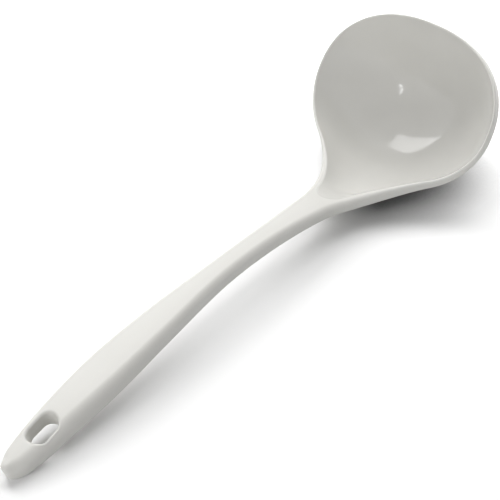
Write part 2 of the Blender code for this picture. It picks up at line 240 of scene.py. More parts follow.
class LadleForm:
    """The ladle's surfaces as functions of the distance along the top, s, and to the side, y."""

    run_count = 1001
    rest_rounds = 6

    def __init__(self, sizes: LadleSizes) -> None:
        """Works out the resting curve of the top.

        Args:
            sizes: The moulding's sizes.
        """
        self.sizes = sizes
        self.centre = sizes.length - sizes.bowl_along / 2
        self.along = sizes.bowl_along / 2
        self.across = sizes.bowl_across / 2
        self.run = np.linspace(0.0, sizes.length, self.run_count)
        step = self.run[1]
        stations, climbs = zip(*sizes.climbs)
        middle = np.radians(through(stations, climbs, self.run[:-1] + step / 2))
        self.run_x = np.concatenate([[0.0], np.cumsum(np.cos(middle) * step)])
        self.run_z = np.concatenate([[0.0], np.cumsum(np.sin(middle) * step)])
        self.climb = np.radians(through(stations, climbs, self.run))
        self.rest()

    def rest(self) -> None:
        """Turns and lifts the top until the handle's end and the bowl stand on the table."""
        sizes = self.sizes
        on_handle, on_bowl = self.run < sizes.rest_reach, self.run > sizes.hollow_start
        for _ in range(self.rest_rounds):
            x, _, z = self.underside()
            a = np.argmin(np.where(on_handle, z, np.inf))
            b = np.argmin(np.where(on_bowl, z, np.inf))
            drop = z[b] + sizes.bowl_flat - z[a] - sizes.handle_flat
            turn = -math.atan2(drop, x[b] - x[a])
            c, d = math.cos(turn), math.sin(turn)
            self.run_x, self.run_z = (
                c * self.run_x - d * self.run_z,
                d * self.run_x + c * self.run_z,
            )
            self.climb = self.climb + turn
        low = np.where(on_handle, self.underside()[2], np.inf).min()
        self.run_z = self.run_z - (low + sizes.handle_flat)

    def underside(self) -> Array:
        """The middle line of the underside, with the rounded edge at the handle's end.

        Returns:
            Its x, y and z, mm.
        """
        edge = self.sizes.bottom_edge
        near = np.clip(edge - self.run, 0.0, None)
        rounded = edge - np.sqrt(edge**2 - near**2)
        return self.place(self.run, 0.0, self.middle_depth(self.run) - rounded).T

    def place(self, s: Any, y: Any, depth: Any) -> Array:
        """Places under the top.

        Args:
            s: Distance along the top, mm.
            y: Distance to the side, mm.
            depth: Depth square to the top, mm.

        Returns:
            World places, mm, one row each.
        """
        s, y, depth = np.broadcast_arrays(*(np.asarray(v, float) for v in (s, y, depth)))
        x = np.interp(s, self.run, self.run_x)
        z = np.interp(s, self.run, self.run_z)
        h = np.interp(s, self.run, self.climb)
        return np.stack([x + depth * np.sin(h), y, z - depth * np.cos(h)], -1)

    def handle_half(self, s: Any) -> Array:
        """Half width of the handle, without its rounded end."""
        stations, halves, _ = zip(*self.sizes.sections)
        return through(stations, halves, np.clip(s, 0.0, stations[-1]))

    def thickness(self, s: Any) -> Array:
        """Thickness of the handle."""
        stations, _, depths = zip(*self.sizes.sections)
        return through(stations, depths, np.clip(s, 0.0, stations[-1]))

    def half_width(self, s: Any) -> Array:
        """Half width of the outline: handle, hollow shoulders, then the bowl's oval.

        Args:
            s: Distance along the top, mm.

        Returns:
            Half widths, mm.
        """
        s = np.asarray(s, float)
        radius = self.sizes.throat_radius
        neck = float(self.handle_half(self.sizes.sections[-1][0]))
        v = (s - self.centre) * self.across / self.along
        start = -math.sqrt((self.across + radius) ** 2 - (neck + radius) ** 2)
        end = start - radius * start / (self.across + radius)
        handle = self.handle_half(s)
        t = np.clip(s / self.sizes.end_round, 0.0, 1.0)
        handle = handle * np.sqrt(1 - (1 - t) ** 2)
        side = radius - np.sqrt(np.clip(radius**2 - (v - start) ** 2, 0, None))
        oval = np.sqrt(np.clip(self.across**2 - v**2, 0.0, None))
        oval = np.where(v < 0.0, oval, self.across * self.far_half(v / self.across))
        return np.where(v < start, handle, np.where(v < end, handle + side, oval))

    def far_half(self, u: Any) -> Array:
        """Half width of the bowl's far half, as a share, by the share of its length."""
        power = self.sizes.bowl_square
        return np.clip(1 - np.clip(u, 0.0, 1.0) ** power, 0.0, None) ** (1 / power)

    def land(self, s: Any) -> Array:
        """Width of the flat rim around the hollow."""
        back, front = self.sizes.land_throat, self.sizes.land_front
        return back + (front - back) * rise(s, self.sizes.hollow_start, self.centre)

    def hollow_half(self, s: Any) -> Array:
        """Half width of the hollow.

        Args:
            s: Distance along the top, mm.

        Returns:
            Half widths, mm, 0 outside the hollow.
        """
        s = np.asarray(s, float)
        tail = np.clip((s - self.sizes.hollow_start) / self.sizes.tail_round, 0.0, 1.0)
        back = np.clip(self.half_width(s) - self.land(s), 0.0, None)
        back = back * np.sqrt(1 - (1 - tail) ** 2)
        u = (s - self.centre) / (self.along - self.sizes.land_front)
        front = (self.across - self.sizes.land_front) * self.far_half(u)
        return np.where(s < self.centre, back, front)

    def cap(self, part: Any) -> Array:
        """A shallow dish, 1 deep at its middle and 0 at its edge.

        Args:
            part: Distance from the middle, as a share of the dish's half width.

        Returns:
            Depths from 0 to 1.
        """
        k = self.sizes.bowl_round
        edge = math.sqrt(k * k - 1)
        return (np.sqrt(k * k - np.clip(part, 0.0, 1.0) ** 2) - edge) / (k - edge)

    def cap_part(self, deep: Any) -> Array:
        """Where the dish is this deep: the inverse of cap.

        Args:
            deep: Depths from 0 to 1.

        Returns:
            Distances from the middle, as shares of the dish's half width.
        """
        k = self.sizes.bowl_round
        edge = math.sqrt(k * k - 1)
        return np.sqrt(np.clip(k * k - (edge + np.clip(deep, 0.0, 1.0) * (k - edge)) ** 2, 0, 1))

    def floor_depth(self, s: Any) -> Array:
        """Depth of the hollow on its middle line.

        Args:
            s: Distance along the top, mm.

        Returns:
            Depths, mm.
        """
        s = np.asarray(s, float)
        sizes = self.sizes
        full = sizes.bowl_depth - sizes.wall
        tail = sizes.tail_depth * rise(s, sizes.hollow_start, sizes.tail_end)
        back = tail + (full - sizes.tail_depth) * rise(s, sizes.fall_start, self.centre)
        u = (s - self.centre) / (self.along - sizes.land_front)
        return np.where(s < self.centre, back, full * self.cap(np.abs(u)))

    def lip(self, s: Any) -> Array:
        """Height of the upright outer face, which is the whole side on the handle."""
        sizes, thick = self.sizes, self.thickness(s)
        return thick + (sizes.lip_height - thick) * rise(s, sizes.hollow_start, self.centre)

    def middle_depth(self, s: Any) -> Array:
        """Depth of the underside on its middle line.

        Args:
            s: Distance along the top, mm.

        Returns:
            Depths, mm.
        """
        s = np.asarray(s, float)
        sizes = self.sizes
        thin = 1 - rise(s, sizes.hollow_start, self.centre - sizes.wall_before_middle)
        wall = sizes.wall + (self.thickness(s) - sizes.wall) * thin
        u = (s - self.centre) / self.along
        front = sizes.lip_height + (sizes.bowl_depth - sizes.lip_height) * self.cap(np.abs(u))
        back = np.where(s < sizes.hollow_start, self.thickness(s), self.floor_depth(s) + wall)
        return np.where(s < self.centre, back, front)

    def edge(self, s: Any, on_handle: float, at_end: float | None = None) -> Array:
        """Radius of a rounded edge, sharper towards the rim.

        Args:
            s: Distance along the top, mm.
            on_handle: Radius on the handle, mm.
            at_end: Radius at the handle's end, mm, where it differs.

        Returns:
            Radii, mm.
        """
        sizes = self.sizes
        start = sizes.hollow_start - sizes.sharp_before_hollow
        sharp = rise(s, start, self.centre - sizes.sharp_before_middle)
        if at_end is not None:
            past_end = rise(s, sizes.end_edge_start, sizes.end_edge_end)
            on_handle = at_end + (on_handle - at_end) * past_end
        return on_handle + (sizes.rim_edge - on_handle) * sharp

    def shoulder(self, s: Any) -> Array:
        """Radius of the rounded edge between the top and the side, smaller round the end."""
        radius = self.edge(s, self.sizes.top_edge, self.sizes.end_edge)
        return np.minimum(radius, np.maximum(self.half_width(s), self.sizes.tip_edge))

    def top_depth(self, s: Any, y: Any) -> Array:
        """How far the handle's crowned top falls away to the sides; the rim is flat.

        Args:
            s: Distance along the top, mm.
            y: Distance to the side, mm.

        Returns:
            Depths, mm.
        """
        sizes = self.sizes
        half = np.maximum(self.half_width(s), sizes.least_half)
        start = sizes.hollow_start - sizes.crown_before_hollow
        flat = rise(s, start, self.centre - sizes.crown_before_middle)
        return sizes.crown * (y / half) ** 2 * (1 - flat)

    def dish(self, s: Any, full: Any, middle: Any, part: Any) -> Array:
        """Depth across a section that is part of the dish.

        Args:
            s: Distance along the top, mm.
            full: Depth of the whole dish, mm.
            middle: Depth at this section's middle, mm.
            part: Distance from the middle, as a share of the section's half width.

        Returns:
            Depths, mm.
        """
        power = np.where(np.asarray(s) < self.centre, 2.0, self.sizes.bowl_square)
        start = self.cap_part(middle / full) ** power
        part = np.clip(np.abs(part), 0.0, 1.0) ** power
        return full * self.cap((start + (1 - start) * part) ** (1 / power))

    def hollow_depth(self, s: Any, y: Any) -> Array:
        """Depth of the hollow anywhere inside its edge.

        Args:
            s: Distance along the top, mm.
            y: Distance to the side, mm.

        Returns:
            Depths, mm.
        """
        part = np.asarray(y, float) / np.maximum(self.hollow_half(s), TINY)
        full = self.sizes.bowl_depth - self.sizes.wall
        return self.dish(s, full, np.minimum(self.floor_depth(s), full), part)

    def under_depth(self, s: Any, y: Any) -> Array:
        """Depth of the underside anywhere inside the outline.

        Args:
            s: Distance along the top, mm.
            y: Distance to the side, mm.

        Returns:
            Depths, mm.
        """
        reach = self.half_width(s) - self.edge(s, self.sizes.bottom_edge)
        reach = np.maximum(reach, self.sizes.least_reach)
        rim = self.lip(s)
        full = self.sizes.bowl_depth - rim
        middle = np.clip(self.middle_depth(s) - rim, 0.0, full)
        return rim + self.dish(s, full, middle, np.asarray(y, float) / reach)


# Mesh making


@dataclass(frozen=True)
class Edge:
    """A curve on the top in the plane of s and y, with its outward direction."""

    s: Array
    y: Array
    out_s: Array
    out_y: Array

    @classmethod
    def along(cls, s: Array, y: Array) -> Edge:
        """Makes the edge from its places.

        Args:
            s: Distances along the top, rising, mm.
            y: Distances to the side, mm.

        Returns:
            The edge, whose outward direction is square to it, away from the middle line.
        """
        ds, dy = np.gradient(s), np.gradient(y)
        size = np.hypot(ds, dy)
        out_s, out_y = -dy / size, ds / size
        for end, way in ((0, -1.0), (-1, 1.0)):
            if y[end] < TINY:
                out_s[end], out_y[end] = way, 0.0
        return cls(s, y, out_s, out_y)

    def moved(self, out: Any) -> tuple[Array, Array]:
        """The edge's places moved outward by a distance, mm."""
        return self.s + self.out_s * out, self.y + self.out_y * out

    def pick(self, index: Array) -> Edge:
        """The edge at fractional places in its own list.

        Args:
            index: Places in the list.

        Returns:
            The edge there.
        """
        own = np.arange(len(self.s))
        s, y, a, b = (np.interp(index, own, v) for v in (self.s, self.y, self.out_s, self.out_y))
        size = np.hypot(a, b)
        return Edge(s, y, a / size, b / size)


def grid_faces(count: int, width: int, start: int) -> Array:
    """Four-sided faces between the points of a grid.

    Args:
        count: Rows.
        width: Points in a row.
        start: Number of the grid's first point.

    Returns:
        The four points of each face.
    """
    corner = start + np.arange(count - 1)[:, None] * width + np.arange(width - 1)
    return np.stack([corner, corner + 1, corner + width + 1, corner + width], -1).reshape(-1, 4)


@dataclass(frozen=True)
class MeshDetail:
    """How many rows or columns each stretch of the mesh has."""

    outline_end: int = 800
    outline_side: int = 9000
    outline_lip: int = 2500
    handle_end: int = 40
    slot_ring: int = 60
    handle: int = 190
    hollow_tail: int = 26
    throat: int = 90
    bowl: int = 70
    top: int = 13
    top_edge: int = 13
    side: tuple[float, ...] = (0.33, 0.67)  # its inner columns, as shares of its height
    bottom_edge: int = 9
    underside: int = 41
    slot_edge: int = 7
    slot_wall: int = 8
    hollow_edge: int = 9
    hollow: int = 49
    lip_run: float = 20.0  # length of the outline's finely divided far end, mm
    weld: float = 2e-6  # points nearer than this are one, m
    least_side: float = 1e-7  # shorter sides are closed up, m


@dataclass(frozen=True)
class Rows:
    """Where each row across one half starts on the middle line, turns down and ends."""

    inner_s: Array
    inner_y: Array
    low_s: Array  # the same starts on the underside
    low_y: Array
    outer: Edge
    radius: Array  # of the rounded edge between the top and the side
    inset: Array  # how much of that edge there is room for
    shoulder_s: Array
    shoulder_y: Array
    slots: slice  # the rows that start at the slot
    slot: Edge
    slot_low_edge: Array
    hollow: Edge


class SauceLadle:
    """The one-piece moulding."""

    name = "ladle_moulding"
    nodes = ("bowl", "handle")

    def __init__(
        self, sizes: LadleSizes, finishes: tuple[MouldedMelamine, ...], detail: MeshDetail
    ) -> None:
        """Keeps the sizes, the finishes and the mesh's fineness.

        Args:
            sizes: The moulding's sizes.
            finishes: The melamine outside and in the hollow.
            detail: The mesh's fineness.
        """
        self.form = LadleForm(sizes)
        self.sizes = sizes
        self.finishes = finishes
        self.detail = detail

    def outline(self) -> Edge:
        """The whole outline, finely, from the handle's end to the far lip.

        Returns:
            The edge.
        """
        end, length = self.sizes.end_round, self.sizes.length
        lip, detail = length - self.detail.lip_run, self.detail
        s = np.concatenate(
            [
                graded(0.0, end, detail.outline_end, True, False),
                np.linspace(end, lip, detail.outline_side)[1:],
                graded(lip, length, detail.outline_lip, False, True)[1:],
            ]
        )
        y = self.form.half_width(s)
        y[-1] = 0.0
        return Edge.along(s, y)

    def slot_ring(self, side: float) -> Edge:
        """One side of the hanging slot's outline.

        Args:
            side: 1 for the far side, -1 for the near side.

        Returns:
            The edge, whose outward direction is into the handle.
        """
        radius = self.sizes.slot_width / 2
        half = radius + side * self.sizes.slot_aside
        start, end = self.sizes.slot_start, self.sizes.slot_start + self.sizes.slot_length
        count = self.detail.slot_ring
        bend = count // 3
        s = np.concatenate(
            [
                graded(start, start + radius, bend, True, False),
                np.linspace(start + radius, end - radius, count - 2 * bend + 2)[1:-1],
                graded(end - radius, end, bend, False, True),
            ]
        )
        past = np.maximum(np.maximum(start + radius - s, s - end + radius), 0.0)
        y = half * np.sqrt(np.clip(1 - (past / radius) ** 2, 0.0, None))
        way_s = np.where(s < start + radius, -past, past) / radius**2
        way_y = y / half**2
        way = np.hypot(way_s, way_y)
        return Edge(s, y, way_s / way, way_y / way)

    def hollow_ring(self) -> Edge:
        """One side of the hollow's edge, from its tail to the far lip.

        Returns:
            The edge.
        """
        start, end = self.sizes.hollow_start, self.sizes.length - self.sizes.land_front
        turned, centre, detail = start + self.sizes.tail_round, self.form.centre, self.detail
        s = np.concatenate(
            [
                graded(start, turned, detail.hollow_tail, True, False),
                np.linspace(turned, centre, detail.throat)[1:],
                graded(centre, end, detail.bowl, False, True)[1:],
            ]
        )
        y = self.form.hollow_half(s)
        y[0] = y[-1] = 0.0
        return Edge.along(s, y)

    def starts(self, outline: Edge, reach: Array) -> tuple[Array, Array]:
        """Where rows start on the middle line, before the slot and between slot and hollow.

        Args:
            outline: The whole outline.
            reach: How far along the top the flat inside the outline's rounded edge reaches.

        Returns:
            The starts before the slot, closer together round the end, and those after it.
        """
        sizes = self.sizes
        steps = np.hypot(np.diff(outline.s), np.diff(outline.y))
        round_end = np.concatenate([[0.0], np.cumsum(steps)])
        turn = np.interp(sizes.slot_start - sizes.slot_edge, reach, round_end)
        before = np.interp(np.linspace(0.0, turn, self.detail.handle_end), round_end, reach)
        start = sizes.slot_start + sizes.slot_length + sizes.slot_edge
        after = np.linspace(start, sizes.hollow_start - sizes.hollow_edge, self.detail.handle)
        return before[:-1], after[1:-1]

    def ends(
        self, outline: Edge, reach: Array, inner_s: Array, inner_y: Array, slots: slice
    ) -> Edge:
        """Where rows end on the outline.

        Args:
            outline: The whole outline.
            reach: How far along the top the flat inside the outline's rounded edge reaches.
            inner_s: Where rows start, along the top.
            inner_y: Where rows start, to the side.
            slots: The rows that start at the slot.

        Returns:
            The outline at those places.
        """
        sizes = self.sizes
        spare = sizes.length - sizes.rim_edge - inner_s[-1]
        stretch = np.interp(inner_s, [self.form.centre, inner_s[-1]], [0.0, spare])
        index = np.interp(inner_s + stretch, reach, np.arange(len(reach)))
        # Beside the slot a row runs square to the side, through the slot's mouth.
        away_s = outline.s - inner_s[slots, None]
        away_y = outline.y - inner_y[slots, None]
        nearest = np.argmin(away_s**2 + away_y**2, axis=1).astype(float)
        first = nearest[0] - index[slots.start]
        slot_end = sizes.slot_start + sizes.slot_length
        fade = slot_end - sizes.mouth_fade_start, slot_end + sizes.mouth_fade_end
        index[slots] = nearest + (index[slots] - nearest) * rise(inner_s[slots], *fade)
        early = inner_s[: slots.start]
        index[: slots.start] += first * rise(early, sizes.tip_edge, sizes.slot_start)
        index[0], index[-1] = 0, len(reach) - 1
        return outline.pick(np.maximum.accumulate(index))

    def rows(self, side: float) -> Rows:
        """Lays out the rows across one half.

        Args:
            side: 1 for the far half, -1 for the near half.

        Returns:
            The rows.
        """
        form, sizes = self.form, self.sizes
        slot, hollow, outline = self.slot_ring(side), self.hollow_ring(), self.outline()
        reach = np.maximum.accumulate(outline.moved(-form.shoulder(outline.s))[0])
        before, after = self.starts(outline, reach)
        slots = slice(len(before), len(before) + len(slot.s))
        slot_s, slot_y = slot.moved(sizes.slot_edge)
        hollow_s, hollow_y = hollow.moved(sizes.hollow_edge)
        inner_s = np.concatenate([before, slot_s, after, hollow_s])
        inner_y = np.concatenate([np.zeros_like(before), slot_y, np.zeros_like(after), hollow_y])
        outer = self.ends(outline, reach, inner_s, inner_y, slots)
        radius = form.shoulder(outer.s)
        room = np.hypot(outer.s - inner_s, outer.y - inner_y)
        shoulder_s, shoulder_y = outer.moved(-radius)
        softer = sizes.slot_flare * max(side, 0.0) * (slot.y / slot.y.max()) ** 2
        low_edge = sizes.slot_edge + softer
        low_s, low_y = inner_s.copy(), np.zeros_like(inner_s)
        low_s[slots], low_y[slots] = slot.moved(low_edge)
        return Rows(
            inner_s=inner_s,
            inner_y=inner_y,
            low_s=low_s,
            low_y=low_y,
            outer=outer,
            radius=radius,
            inset=np.minimum(radius, room),
            shoulder_s=np.where(room < radius, inner_s, shoulder_s),
            shoulder_y=np.where(room < radius, inner_y, np.maximum(shoulder_y, 0.0)),
            slots=slots,
            slot=slot,
            slot_low_edge=low_edge,
            hollow=hollow,
        )

    def skin(self, rows: Rows) -> Array:
        """Half of the top, the side and the underside, row by row.

        Args:
            rows: The rows of that half.

        Returns:
            World places, mm, rows by columns.
        """
        form, detail, outer = self.form, self.detail, rows.outer
        low_edge = form.edge(outer.s, self.sizes.bottom_edge)
        bends = np.arcsin(1 - rows.inset / rows.radius)
        fall = rows.radius * (1 - np.cos(bends))
        columns = []
        for part in np.linspace(0.0, 1.0, detail.top):
            s = rows.inner_s + (rows.shoulder_s - rows.inner_s) * part
            y = rows.inner_y + (rows.shoulder_y - rows.inner_y) * part
            columns.append((s, y, form.top_depth(s, y) + fall))
        for part in np.linspace(0.0, 1.0, detail.top_edge)[1:]:
            bend = bends + (math.pi / 2 - bends) * part
            share = rows.radius * (1 - np.sin(bend)) / rows.inset
            s = outer.s + (rows.shoulder_s - outer.s) * share
            y = outer.y + (rows.shoulder_y - outer.y) * share
            columns.append((s, y, form.top_depth(s, y) + rows.radius * (1 - np.cos(bend))))
        side = form.lip(outer.s)
        upper = form.top_depth(outer.s, outer.y) + rows.radius
        for part in detail.side:
            depth = upper * (1 - part) + (side - low_edge) * part
            columns.append((outer.s, outer.y, depth))
        for bend in np.linspace(math.pi / 2, 0.0, detail.bottom_edge):
            s, y = outer.moved(-low_edge * (1 - math.sin(bend)))
            columns.append((s, np.maximum(y, 0.0), side - low_edge * (1 - math.cos(bend))))
        end_s, end_y = outer.moved(-low_edge)
        end_y = np.maximum(end_y, 0.0)
        for part in np.sin(np.linspace(0.0, math.pi / 2, detail.underside))[::-1][1:]:
            s = rows.low_s + (end_s - rows.low_s) * part
            y = rows.low_y + (end_y - rows.low_y) * part
            columns.append((s, y, form.under_depth(s, y)))
        return np.stack([form.place(*column) for column in columns], 1)

    def slot_wall(self, rows: Rows) -> Array:
        """Half of the slot's wall with its two rounded edges.

        Args:
            rows: The rows of that half.

        Returns:
            World places, mm, rows by columns.
        """
        form, radius, slot = self.form, self.sizes.slot_edge, rows.slot
        fall = rows.radius * (1 - np.sqrt(1 - (1 - rows.inset / rows.radius) ** 2))
        top = form.top_depth(*slot.moved(radius)) + fall[rows.slots]
        low_edge = rows.slot_low_edge
        low = form.under_depth(*slot.moved(low_edge))
        columns = []
        bends = np.linspace(0.0, math.pi / 2, self.detail.slot_edge)
        for bend in bends:
            s, y = slot.moved(radius * (1 - math.sin(bend)))
            columns.append((s, y, top + radius * (1 - math.cos(bend))))
        for part in np.linspace(0.0, 1.0, self.detail.slot_wall)[1:-1]:
            depth = (top + radius) * (1 - part) + (low - low_edge) * part
            columns.append((slot.s, slot.y, depth))
        for bend in bends[::-1]:
            s, y = slot.moved(low_edge * (1 - math.sin(bend)))
            columns.append((s, y, low - low_edge * (1 - math.cos(bend))))
        return np.stack([form.place(*column) for column in columns], 1)

    def hollow_face(self, rows: Rows) -> Array:
        """Half of the hollow with its rounded edge.

        Args:
            rows: The rows of that half.

        Returns:
            World places, mm, rows by columns.
        """
        form, radius, hollow = self.form, self.sizes.hollow_edge, rows.hollow
        inside_s, inside_y = hollow.moved(-radius)
        inside_y = np.maximum(inside_y, 0.0)
        low = form.hollow_depth(inside_s, inside_y)
        top = form.top_depth(*hollow.moved(radius))
        columns = []
        for part in np.linspace(-1.0, 1.0, self.detail.hollow_edge):
            s, y = hollow.moved(-radius * part)
            share = ((1 + part) / 2) ** 2
            columns.append((s, np.maximum(y, 0.0), top * (1 - share) + low * share))
        for part in np.sin(np.linspace(0.0, math.pi / 2, self.detail.hollow))[::-1][1:]:
            s, y = inside_s, inside_y * part
            columns.append((s, y, form.hollow_depth(s, y)))
        return np.stack([form.place(*column) for column in columns], 1)

    def build(self) -> bpy.types.Object:
        """Makes the moulding's mesh.

        Returns:
            The object, standing in the frame of the CAD.
        """
        places, faces, polishes, start = [], [], [], 0
        for side in (1.0, -1.0):
            rows = self.rows(side)
            for grid, polish in (
                (self.skin(rows), Polish.SATIN),
                (self.slot_wall(rows), Polish.SATIN),
                (self.hollow_face(rows), Polish.MIRROR),
            ):
                quads = grid_faces(*grid.shape[:2], start)
                places.append((grid * (1.0, side, 1.0)).reshape(-1, 3))
                faces += (quads if side > 0 else quads[:, ::-1]).tolist()
                polishes += [polish.value] * len(quads)
                start += len(places[-1])
        everything = np.concatenate(places)
        ends = everything[:, 0].min(), everything[:, 0].max()
        everything[:, 0] -= sum(ends) / 2
        # What would stand in the table is cut flat: the two faces that the ladle rests on.
        everything[:, 2] = np.maximum(everything[:, 2], 0.0)
        mesh = bpy.data.meshes.new(self.name)
        mesh.from_pydata((everything * MM).tolist(), [], faces)
        mesh.polygons.foreach_set("material_index", polishes)
        loose = self.weld(mesh)
        mesh.shade_smooth()
        piece = bpy.data.objects.new(self.name, mesh)
        bpy.context.scene.collection.objects.link(piece)
        LOG.info("%s: %d faces, %d open edges", self.name, len(mesh.polygons), loose)
        return piece

    def weld(self, mesh: bpy.types.Mesh) -> int:
        """Joins the grids' edges into one closed skin.

        Args:
            mesh: The mesh, changed in place.

        Returns:
            How many sides are still open.
        """
        work = bmesh.new()
        work.from_mesh(mesh)
        bmesh.ops.remove_doubles(work, verts=work.verts, dist=self.detail.weld)
        bmesh.ops.dissolve_degenerate(work, edges=work.edges, dist=self.detail.least_side)
        bmesh.ops.recalc_face_normals(work, faces=work.faces)
        work.to_mesh(mesh)
        loose = sum(1 for edge in work.edges if len(edge.link_faces) != 2)
        work.free()
        return loose

    def dress(self, piece: bpy.types.Object) -> None:
        """Gives the moulding its finishes and its place in the frame.

        Args:
            piece: The moulding.
        """
        for finish in self.finishes:
            piece.data.materials.append(finish.build())
        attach(piece, "root")
        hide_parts(*self.nodes)


# Finishes


# The sRGB curve: straight up to its knee, then a power.
SRGB_KNEE = 0.04045
SRGB_SLOPE = 12.92
SRGB_OFFSET = 0.055
SRGB_POWER = 2.4


def linear(code: str) -> tuple[float, float, float, float]:
    """Turns an sRGB hex value to linear colour.

    Args:
        code: Six hex digits after a #.

    Returns:
        Red, green, blue and 1.
    """
    channels = []
    for i in (1, 3, 5):
        value = int(code[i : i + 2], 16) / 255
        curved = ((value + SRGB_OFFSET) / (1 + SRGB_OFFSET)) ** SRGB_POWER
        channels.append(value / SRGB_SLOPE if value <= SRGB_KNEE else curved)
    return channels[0], channels[1], channels[2], 1.0


def add_node(
    tree: Tree,
    kind: str,
    settings: dict[str, Any] | None = None,
    inputs: dict[Any, Any] | None = None,
) -> bpy.types.Node:
    """Adds a node with its settings and links.

    Args:
        tree: The node tree.
        kind: The node's type name.
        settings: Values of the node's own properties.
        inputs: By input name or number, a value or the output socket that feeds it.

    Returns:
        The node.
    """
    node = tree.nodes.new(kind)
    for key, value in (settings or {}).items():
        setattr(node, key, value)
    for key, value in (inputs or {}).items():
        if isinstance(value, Socket):
            tree.links.new(value, node.inputs[key])
        else:
            node.inputs[key].default_value = value
    return node


@dataclass(frozen=True)
class MouldedMelamine:
    """Melamine-formaldehyde filled with cellulose, pressed in a hot steel mould.

    The filler makes it a dense, faintly warm white with very soft clouds of tone. Polished steel
    leaves the hollow glossy like glazed china, and blasted steel leaves the outside satin.
    """

    name: str
    roughness: float
    grain_height_mm: float
    body: str = "#DBDAD6"
    cloud: str = "#D4D3CE"
    ior: float = 1.6
    cloud_mm: float = 26.0
    cloud_layers: float = 3.0
    grain_mm: float = 0.9  # the blasted steel's grain is about 0.2 mm, drawn coarser to show
    grain_layers: float = 2.0
    ripple_mm: float = 9.0  # the faint waves that a large polished mould has
    ripple_layers: float = 1.0
    ripple_height_mm: float = 0.02

    def build(self) -> bpy.types.Material:
        """Makes the material.

        Returns:
            The material.
        """
        material = bpy.data.materials.new(self.name)
        material.use_nodes = True
        tree = material.node_tree
        tree.nodes.clear()
        where = add_node(tree, "ShaderNodeTexCoord").outputs["Object"]
        patterns = []
        for size_mm, layers in (
            (self.cloud_mm, self.cloud_layers),
            (self.grain_mm, self.grain_layers),
            (self.ripple_mm, self.ripple_layers),
        ):
            values = {"Vector": where, "Scale": 1 / (size_mm * MM), "Detail": layers}
            pattern = add_node(tree, "ShaderNodeTexNoise", inputs=values)
            patterns.append(pattern.outputs["Fac"])
        clouds, grain, ripple = patterns
        tones = {"Factor": clouds, 6: linear(self.body), 7: linear(self.cloud)}
        colour = add_node(tree, "ShaderNodeMix", {"data_type": "RGBA"}, tones)
        steel = {"Distance": self.grain_height_mm * MM, "Height": grain}
        fine = add_node(tree, "ShaderNodeBump", inputs=steel).outputs["Normal"]
        waves = {"Distance": self.ripple_height_mm * MM, "Height": ripple, "Normal": fine}
        wavy = add_node(tree, "ShaderNodeBump", inputs=waves)
        surface = {
            "Base Color": colour.outputs[2],
            "Roughness": self.roughness,
            "IOR": self.ior,
            "Normal": wavy.outputs["Normal"],
        }
        shader = add_node(tree, "ShaderNodeBsdfPrincipled", inputs=surface)
        add_node(tree, "ShaderNodeOutputMaterial", inputs={"Surface": shader.outputs[0]})
        return material


# In the order of Polish.
FINISHES = (
    MouldedMelamine("melamine_satin_from_blasted_mould", roughness=0.5, grain_height_mm=0.012),
    MouldedMelamine("melamine_gloss_from_polished_mould", roughness=0.1, grain_height_mm=0.001),
)


# Studio


@dataclass(frozen=True)
class Softbox:
    """A rectangular studio lamp, aimed at the ladle."""

    name: str
    azimuth: float  # degrees round the ladle, 0 from -Y, 90 from +X
    elevation: float  # degrees above the table
    power: float  # watts
    width: float = 0.7  # metres, as the next two
    height: float = 0.7
    distance: float = 1.3
    mirrored: bool = False  # whether the polished bowl shows it
    turn: float = 0.0  # degrees about its own aim

    def build(self) -> bpy.types.Object:
        """Makes the lamp.

        Returns:
            The lamp's object.
        """
        lamp = bpy.data.lights.new(self.name, "AREA")
        lamp.shape = "RECTANGLE"
        lamp.size, lamp.size_y = self.width, self.height
        lamp.energy = self.power
        piece = bpy.data.objects.new(self.name, lamp)
        back = toward(self.azimuth, self.elevation)
        piece.location = back * self.distance
        aim = (-back).to_track_quat("-Z", "Y").to_matrix()
        piece.rotation_euler = (aim @ Matrix.Rotation(math.radians(self.turn), 3, "Z")).to_euler()
        piece.visible_glossy = self.mirrored
        bpy.context.scene.collection.objects.link(piece)
        LOG.info("%s", self.name)
        return piece


SOFTBOXES = (
    Softbox("window_softbox", 167.5, 54.8, 5.2, 0.42, 1.26, mirrored=True, turn=13.2),
    Softbox("strip_lamp", 290.0, 26.0, 0.6, 0.08, 0.36, mirrored=True),
    Softbox("far_softbox", 155.0, 44.0, 7.6, width=0.9),
    Softbox("right_softbox", 95.0, 56.0, 6.2),
    Softbox("right_low_softbox", 90.0, 20.0, 6.0),
    Softbox("left_low_softbox", 270.0, 20.0, 7.2),
    Softbox("near_softbox", 0.0, 38.0, 2.6),
)


